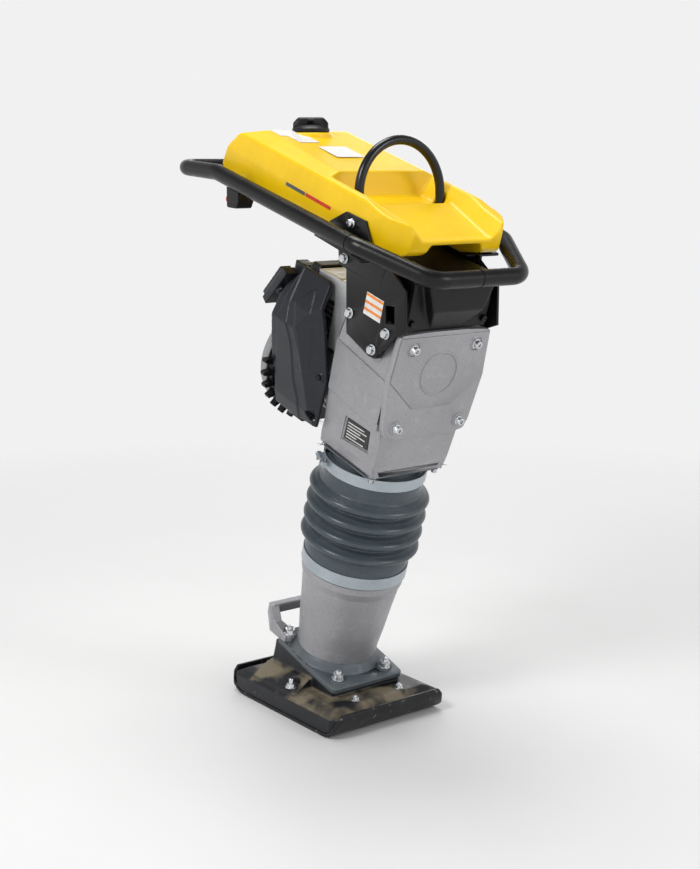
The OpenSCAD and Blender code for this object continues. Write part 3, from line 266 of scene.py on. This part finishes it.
def slate_casting():
    shade = Shade("slate_casting", (0.105, 0.125, 0.14), 0.42, metal=0.3)
    shade.vary(9, 0.1).speckle(300, (0.28, 0.29, 0.3), 0.6, 0.8, 0.5)
    shade.grain(700, 0.3)
    shade.dust((0.3, 0.28, 0.23), 0.5, 0.8, 0.35)
    return shade


def zinc():
    shade = Shade("zinc", (0.66, 0.68, 0.70), 0.27, metal=0.95)
    shade.vary(90, 0.08, 0.1).grain(1500, 0.03)
    shade.speckle(240, (0.45, 0.44, 0.42), 0.6, 0.75, 0.6)
    return shade


def clamp_steel():
    shade = Shade("clamp_steel", (0.40, 0.45, 0.485), 0.34, metal=0.7)
    shade.vary(30, 0.06).grain(700, 0.05, 2, (1, 1, 14))
    shade.speckle(160, (0.46, 0.5, 0.53), 0.55, 0.75, 0.5)
    return shade


def machined(name, colour, rough=0.28):
    shade = Shade(name, colour, rough, metal=0.95)
    shade.vary(40, 0.08).grain(900, 0.04, 2, (1, 1, 20))
    return shade


def bellows_rubber():
    shade = Shade("bellows_rubber", (0.052, 0.07, 0.083), 0.3, spec=0.5)
    shade.vary(10, 0.1, 0.05).speckle(35, (0.1, 0.12, 0.13), 0.55, 0.85, 0.4)
    shade.grain(1100, 0.06)
    shade.dust((0.28, 0.29, 0.28), 0.55, 0.85, 0.25)
    return shade


def mount_rubber():
    return Shade("mount_rubber", (0.02, 0.02, 0.021), 0.7).vary(30, 0.15).grain(900, 0.1)


def moulded(name, colour, rough, grain=0.12, coat=0.0, spec=0.5):
    """Moulded plastic with a fine spark-eroded texture."""
    shade = Shade(name, colour, rough, spec=spec)
    shade.vary(11, 0.07, 0.05).grain(1300, grain)
    shade.shader.inputs["Coat Weight"].default_value = coat
    shade.shader.inputs["Coat Roughness"].default_value = 0.25
    return shade


def yellow_plastic():
    shade = moulded("yellow_plastic", (0.88, 0.555, 0.0), 0.36, 0.07, 0.08, 0.35)
    shade.speckle(55, (0.96, 0.63, 0.004), 0.5, 0.8, 0.4)
    shade.speckle(190, (0.6, 0.38, 0.02), 0.7, 0.8, 0.3)
    return shade


def black_plastic():
    shade = moulded("black_plastic", (0.004, 0.004, 0.0046), 0.4, 0.1, spec=0.3)
    shade.speckle(150, (0.02, 0.02, 0.021), 0.62, 0.8, 0.5)
    return shade


def shroud_plastic():
    shade = moulded("shroud_plastic", (0.0085, 0.0105, 0.0155), 0.38, 0.12, spec=0.4)
    shade.speckle(40, (0.017, 0.021, 0.03), 0.5, 0.8, 0.5)
    shade.dust((0.08, 0.08, 0.078), 0.5, 0.8, 0.2)
    return shade


def shoe_plastic():
    shade = moulded("shoe_plastic", (0.0065, 0.0075, 0.0105), 0.46, 0.22, spec=0.4)
    shade.speckle(26, (0.016, 0.018, 0.023), 0.5, 0.75, 0.5)
    shade.dust((0.27, 0.225, 0.15), 0.46, 0.6, 0.75, 17)
    shade.speckle(90, (0.12, 0.11, 0.1), 0.66, 0.74, 0.5)
    return shade


def sole_steel():
    shade = Shade("sole_steel", (0.006, 0.006, 0.0075), 0.4, metal=0.1, spec=0.4)
    shade.vary(12, 0.3, 0.12)
    shade.speckle(16, (0.018, 0.018, 0.02), 0.5, 0.66, 0.8)
    shade.speckle(85, (0.2, 0.19, 0.18), 0.63, 0.72, 0.8)
    shade.grain(240, 0.4).grain(60, 0.6)
    return shade


def powder_black():
    shade = Shade("powder_black", (0.0035, 0.0035, 0.004), 0.3, spec=0.32)
    shade.vary(14, 0.15, 0.06).grain(1400, 0.06)
    shade.speckle(120, (0.04, 0.04, 0.043), 0.7, 0.78, 0.5)
    return shade


def engine_aluminium():
    shade = Shade("engine_aluminium", (0.53, 0.54, 0.55), 0.4, metal=0.6)
    shade.vary(20, 0.1).grain(600, 0.2).speckle(300, (0.35, 0.35, 0.36), 0.55, 0.75, 0.5)
    return shade


def plain_paint(name, colour, rough, scale=30, grain=0.1):
    return Shade(name, colour, rough).vary(scale, 0.12).grain(800, grain)


def woven(name, colour):
    """Braided or pleated fibre: two crossing fine grains."""
    shade = Shade(name, colour, 0.85)
    shade.vary(60, 0.2)
    shade.grain(500, 0.4, 2, (1, 1, 5)).grain(500, 0.4, 2, (5, 5, 1))
    return shade


SHADES = {
    "sole_steel": sole_steel,
    "shoe_plastic": shoe_plastic,
    "zinc": zinc,
    "slate_casting": slate_casting,
    "cast_aluminium": cast_aluminium,
    "clamp_steel": clamp_steel,
    "machined_steel": lambda: machined("machined_steel", (0.5, 0.51, 0.53)),
    "spring_steel": lambda: machined("spring_steel", (0.11, 0.12, 0.14), 0.4),
    "bellows_rubber": bellows_rubber,
    "machined_aluminium": lambda: machined("machined_aluminium", (0.6, 0.61, 0.62), 0.35),
    "bronze": lambda: machined("bronze", (0.55, 0.38, 0.14), 0.35),
    "printed_plate": lambda: plain_paint("printed_plate", (0.012, 0.012, 0.012), 0.3),
    "black_plastic": black_plastic,
    "filter_paper": lambda: woven("filter_paper", (0.66, 0.56, 0.38)),
    "engine_aluminium": engine_aluminium,
    "shroud_plastic": shroud_plastic,
    "starter_grey": lambda: moulded("starter_grey", (0.27, 0.275, 0.285), 0.45),
    "black_steel": lambda: machined("black_steel", (0.03, 0.03, 0.032), 0.4),
    "powder_black": powder_black,
    "mount_rubber": mount_rubber,
    "yellow_plastic": yellow_plastic,
    "loop_sleeve": lambda: moulded("loop_sleeve", (0.004, 0.004, 0.0045), 0.24, 0.04, 0.2, 0.35),
    "clutch_lining": lambda: plain_paint("clutch_lining", (0.16, 0.11, 0.06), 0.8),
    "pulley_plastic": lambda: moulded("pulley_plastic", (0.7, 0.66, 0.54), 0.4),
    "rope": lambda: woven("rope", (0.6, 0.6, 0.55)),
    "red_plastic": lambda: moulded("red_plastic", (0.48, 0.02, 0.014), 0.3, 0.05, 0.3),
    "label_white": lambda: plain_paint("label_white", (0.72, 0.72, 0.7), 0.4, 90, 0.02),
    "label_orange": lambda: plain_paint("label_orange", (0.8, 0.24, 0.03), 0.4, 90, 0.02),
    "decal_grey": lambda: plain_paint("decal_grey", (0.09, 0.1, 0.11), 0.4, 90, 0.02),
    "decal_red": lambda: plain_paint("decal_red", (0.62, 0.04, 0.02), 0.4, 90, 0.02),
}
made = {}


def shade_of(slot):
    if slot not in made:
        made[slot] = SHADES[slot]().material
    return made[slot]


def paint_nodes():
    """Gives every CAD node the material of its slot."""
    slots = {part["node"]: part["material_slot"] for part in frame["record"]["subparts"]}
    for name, obj in frame["nodes"].items():
        material = shade_of(slots[name])
        if not obj.material_slots:
            obj.data.materials.append(material)
        for place in obj.material_slots:
            place.material = material


# ---------- softened edges on CAD nodes ----------


def soften(width, *names, segments=2):
    """Rounds the sharp edges of CAD nodes with modifiers; their own meshes stay as they are."""
    for name in names:
        obj = frame["nodes"][name]
        weld = obj.modifiers.new("one_skin", "WELD")
        weld.merge_threshold = WELD_GAP
        flat = obj.modifiers.new("flat_faces", "DECIMATE")
        flat.decimate_type = "DISSOLVE"
        flat.angle_limit = math.radians(0.5)
        bevel = obj.modifiers.new("soft_edges", "BEVEL")
        bevel.width = width * MM
        bevel.segments = segments
        bevel.limit_method = "ANGLE"
        bevel.angle_limit = math.radians(30)
        bevel.use_clamp_overlap = False
        bevel.harden_normals = True


def smooth_nodes():
    for obj in frame["nodes"].values():
        obj.data.shade_smooth()
        obj.data.set_sharp_from_angle(angle=math.radians(30))


# ---------- building new pieces ----------


def new_piece(name, mesh, slot, body, smooth=40):
    """Adds a mesh as a piece that rides on a body and takes a slot's material."""
    obj = bpy.data.objects.new(name, mesh)
    bpy.context.collection.objects.link(obj)
    mesh.materials.clear()
    mesh.materials.append(shade_of(slot))
    mesh.shade_smooth()
    mesh.set_sharp_from_angle(angle=math.radians(smooth))
    if body:
        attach(obj, body)
    return obj


def mesh_of(name, verts, faces):
    mesh = bpy.data.meshes.new(name)
    mesh.from_pydata([tuple(v) for v in verts], [], faces)
    return mesh


def applied(obj):
    """The mesh of an object after its modifiers."""
    graph = bpy.context.evaluated_depsgraph_get()
    return bpy.data.meshes.new_from_object(obj.evaluated_get(graph))


def moulded_copy(node, voxel, rounds, slot, body):
    """Stands for a CAD node: its shape with every edge rounded off as moulding or casting does."""
    work = bpy.data.objects.new(node + "_work", frame["nodes"][node].data.copy())
    bpy.context.collection.objects.link(work)
    weld = work.modifiers.new("one_skin", "WELD")
    weld.merge_threshold = WELD_GAP
    voxels = work.modifiers.new("voxels", "REMESH")
    voxels.mode = "VOXEL"
    voxels.voxel_size = voxel * MM
    even = work.modifiers.new("even", "SMOOTH")
    even.factor = 0.5
    even.iterations = rounds
    thin = work.modifiers.new("thin", "DECIMATE")
    thin.ratio = 0.5
    mesh = applied(work)
    bpy.data.objects.remove(work)
    piece = new_piece(node + "_skin", mesh, slot, body, 60)
    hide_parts(node)


def lathe(name, profile, centre, axis, slot, body, steps, smooth):
    """Turns (radius, height) points round an axis through centre. Axis is a world vector."""
    turn = Vector((0, 0, 1)).rotation_difference(Vector(axis)).to_matrix()
    verts = []
    for i in range(steps):
        a = 2 * math.pi * i / steps
        for r, h in profile:
            verts.append(Vector(centre) + turn @ (Vector((r * math.cos(a), r * math.sin(a), h)) * MM))
    n = len(profile)
    faces = []
    for i in range(steps):
        for k in range(n):
            a, b = i * n + k, i * n + (k + 1) % n
            c, d = ((i + 1) % steps) * n + (k + 1) % n, ((i + 1) % steps) * n + k
            faces.append((a, d, c, b))
    return new_piece(name, mesh_of(name, verts, faces), slot, body, smooth)


# ---------- bellows ----------

NECK_LOW, CONV_LOW, CONV_TOP, NECK_TOP = 290.8, 334.0, 459.0, 500.5


def bellows():
    """Four rounded convolutions between two plain necks."""
    outer_r, root_r, wall, folds = 107, 89, 3, 4
    outside = [(94.0, NECK_LOW), (93.6, 316), (92.6, 326)]
    steps = folds * 20
    for i in range(1, steps):
        c = -math.cos(2 * math.pi * folds * i / steps)
        swell = c ** 0.62 if c > 0 else -((-c) ** 1.5)
        r = (outer_r + root_r) / 2 + (outer_r - root_r) / 2 * swell
        outside.append((r, CONV_LOW + (CONV_TOP - CONV_LOW) * i / steps))
    outside += [(90.2, CONV_TOP + 3), (90.2, NECK_TOP)]
    inside = [(r - wall, s) for r, s in reversed(outside)]
    profile = [(r, s - NECK_LOW) for r, s in outside + inside]
    foot = leg(0, 0, NECK_LOW)
    piece = lathe("bellows_skin", profile, foot, UP.normalized(), "bellows_rubber", None, 144, 60)
    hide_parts("bellows")
    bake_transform(piece)


# ---------- tank fittings ----------


def fuel_cap():
    """Black cap: knurled skirt, sloping shoulder and a winged grip with a finger dish on each side."""
    low, high = (Vector(corner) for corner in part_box("fuel_cap"))
    middle = (low + high) / 2
    base = low.z
    ribs, rim = 36, 33.0
    verts, faces = [], []
    rings = [(rim - 2, 0.0), (rim, 1.2), (rim, 6.5), (rim - 2.5, 9.0), (rim - 9, 12.5), (rim - 14, 13.0)]
    steps = ribs * 4
    for r, h in rings:
        for i in range(steps):
            knurl = 0.5 * (i % 4 < 2) if 1.0 < h < 7 else 0.5
            a = 2 * math.pi * i / steps
            verts.append((middle.x + (r - knurl) * math.cos(a) * MM,
                          middle.y + (r - knurl) * math.sin(a) * MM,
                          base + h * MM))
    for k in range(len(rings) - 1):
        for i in range(steps):
            j = (i + 1) % steps
            faces.append((k * steps + i, k * steps + j, (k + 1) * steps + j, (k + 1) * steps + i))
    faces.append(tuple(range(steps))[::-1])
    top = (len(rings) - 1) * steps
    faces.append(tuple(range(top, top + steps)))
    base_piece = new_piece("cap_base", mesh_of("cap_base", verts, faces), "black_plastic", "fuel_cap", 35)
    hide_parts("fuel_cap")
    columns, half_length = 28, 31
    turn = math.radians(50)
    cos, sin = math.cos(turn), math.sin(turn)
    verts, faces = [], []
    for i in range(columns + 1):
        a = -half_length + 2 * half_length * i / columns
        height = 26.4 - 10 * max(0.0, (abs(a) - 20) / 11) ** 1.6
        waist = 1 - math.exp(-((a / 17) ** 2))
        section = ((-1, 5), (-1, 9), (-1, height - 6), (-0.7, height - 1.2), (-0.35, height),
                   (0.35, height), (0.7, height - 1.2), (1, height - 6), (1, 9), (1, 5))
        for side, b in section:
            half = 8.5 if b > height - 7 else (3.2 + 5.3 * waist if b > 6 else 11)
            w = side * half
            verts.append((middle.x + (a * cos - w * sin) * MM,
                          middle.y + (a * sin + w * cos) * MM,
                          base + b * MM))
    n = len(section)
    for i in range(columns):
        for k in range(n - 1):
            p, q = i * n + k, (i + 1) * n + k
            faces.append((p, p + 1, q + 1, q))
        faces.append((i * n, (i + 1) * n, (i + 1) * n + n - 1, i * n + n - 1))
    faces.append(tuple(range(n))[::-1])
    faces.append(tuple(range(columns * n, columns * n + n)))
    new_piece("cap_wing", mesh_of("cap_wing", verts, faces), "black_plastic", "fuel_cap", 50)


def sticker(name, corners, normal, slot, lift=0.35):
    """A thin plain plate laid on four corner points."""
    n = Vector(normal).normalized() * lift * MM
    low = [Vector(c) - n * 0.6 for c in corners]
    high = [Vector(c) + n for c in corners]
    faces = [(3, 2, 1, 0), (4, 5, 6, 7)] + [(i, (i + 1) % 4, 4 + (i + 1) % 4, 4 + i) for i in range(4)]
    new_piece(name, mesh_of(name, low + high, faces), slot, "upper", 30)


def panel(rear, front, y, top, bottom):
    """Corners of an upright rectangle at y, from its upper rear corner round to its lower rear one."""
    return [leg(rear, y, top), leg(front, y, top), leg(front, y, bottom), leg(rear, y, bottom)]


def labels():
    """Plain labels without words: stripes on the bracket, blank ones on the tank, two stripes on its side."""
    rear, front, bottom, top = 7.5, 52.0, 784, 821
    sticker("bracket_label", panel(rear, front, -100.1, top, bottom), RIGHT, "label_white")
    for i in range(3):
        s = top - 1.5 - i * 12
        stripe = panel(rear, front, -100.5, s, s - 4.5)
        sticker(f"bracket_label_stripe_{i}", stripe, RIGHT, "label_orange", lift=0.2)
    top_s = 978.1
    spans = [(-260, -201, -45, 14), (-322, -284, -66, -24), (-356, -322, -80, -34)]
    for i, (u0, u1, y0, y1) in enumerate(spans):
        corners = [leg(u0, y0, top_s), leg(u1, y0, top_s), leg(u1, y1, top_s), leg(u0, y1, top_s)]
        sticker(f"tank_label_{i}", corners, UP, "label_white")
    for name, u0, u1 in (("grey", -222, -166), ("red", -164, -92)):
        sticker(f"tank_stripe_{name}", panel(u0, u1, -126.05, 929, 923), RIGHT, f"decal_{name}", lift=0.25)


def rating_plate_lines():
    """Pale lines that stand for the print on the rating plate."""
    widths = [44, 52, 36, 50, 28, 48]
    u, y, thick, slope = 2.5, -80.25, 1.7, 0.06
    for i, w in enumerate(widths):
        s = 583.5 - i * 5.2
        corners = [leg(u, y, s), leg(u + w, y, s + w * slope),
                   leg(u + w, y, s - thick + w * slope), leg(u, y, s - thick)]
        sticker(f"plate_line_{i}", corners, RIGHT, "label_white", lift=0.12)


# ---------- springs and rope ----------


def copy_of(node, slot):
    """A piece with the mesh of a CAD node that it stands for."""
    mesh = frame["nodes"][node].data.copy()
    piece = new_piece(node + "_piece", mesh, slot, None)
    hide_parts(node)
    return piece


def springs():
    """Copies of the CAD spring coils, baked in place. They stay still and don't follow the spring plate,
    which moves 25 mm for every 65 mm of stroke.
    """
    lower = copy_of("lower_springs", "spring_steel")
    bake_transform(lower)
    upper = copy_of("upper_springs", "spring_steel")
    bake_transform(upper)


def rope():
    """Starter rope from its hole in the shroud to the grip, its strands twisted."""
    low, high = (Vector(corner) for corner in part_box("starter_rope"))
    foot, head = Vector((high.x, low.y, low.z)), Vector((low.x, high.y, high.z))
    middle_y = (low.y + high.y) / 2
    foot.y = head.y = middle_y
    along = (head - foot).normalized()
    inset = 2.0 * MM
    start, end = foot + along * inset, head - along * inset
    across = Vector((0, 1, 0))
    third = along.cross(across)
    rings, sides = 40, 12
    verts, faces = [], []
    for i in range(rings + 1):
        for k in range(sides):
            a = 2 * math.pi * k / sides
            r = 2.3 * (1 - 0.12 * (k % 3 == 0))
            twist = a + 0.35 * i
            spoke = across * math.cos(twist) + third * math.sin(twist)
            verts.append(start.lerp(end, i / rings) + spoke * r * MM)
    for i in range(rings):
        for k in range(sides):
            j = (k + 1) % sides
            faces.append((i * sides + k, i * sides + j, (i + 1) * sides + j, (i + 1) * sides + k))
    faces += [tuple(range(sides))[::-1], tuple(range(rings * sides, rings * sides + sides))]
    piece = new_piece("starter_rope_piece", mesh_of("starter_rope_piece", verts, faces), "rope", None)
    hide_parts("starter_rope")
    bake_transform(piece)


# ---------- case details: painted gap shade ---


def paint_gap_shade():
    """Painted shade: dark strips on both sides that stand for the shade in the gaps between the cover and the
    case.
    """
    for i, (y, low, high) in enumerate([(92.2, 620, 655), (91.0, 690, 745)]):
        for hand, side in (("right", -1), ("left", 1)):
            # black plastic strips laid on the case sides as painted shade where the gaps fall dark
            corners = [leg(86.5, side * y, low), leg(89, side * y, low),
                       leg(90.5, side * y, high), leg(88, side * y, high)]
            sticker(f"gap_shade_{i}_{hand}", corners, (0, side, 0), "black_plastic", lift=0.3)


# ---------- the scene ----------

camera()
studio()
floor()
paint_nodes()
smooth_nodes()
soften(1.6, "crankcase", "foot_flange")
soften(1.2, "crankcase_cover", "bracket_right", "bracket_left", "starter_cover")
soften(0.5, "flange_nuts", "shoe_bolts", "case_screws", "bracket_bolts", "shroud_screws", segments=1)
bellows()
fuel_cap()
moulded_copy("tank", 2.2, 5, "yellow_plastic", "upper")
moulded_copy("shoe_body", 2.0, 3, "shoe_plastic", "foot")
moulded_copy("shoe_plate", 1.8, 3, "sole_steel", "foot")
moulded_copy("foot_grip", 1.5, 5, "cast_aluminium", "foot")
moulded_copy("air_filter_housing", 2.0, 4, "black_plastic", "upper")
moulded_copy("fan_housing", 1.8, 3, "shroud_plastic", "upper")
moulded_copy("cylinder_cover", 1.6, 3, "shroud_plastic", "upper")
moulded_copy("starter_grip", 1.2, 5, "shroud_plastic", "starter_grip")
moulded_copy("throttle_housing", 1.2, 4, "black_plastic", "upper")
moulded_copy("muffler", 1.5, 4, "engine_aluminium", "upper")
labels()
rating_plate_lines()
springs()
rope()
paint_gap_shade()
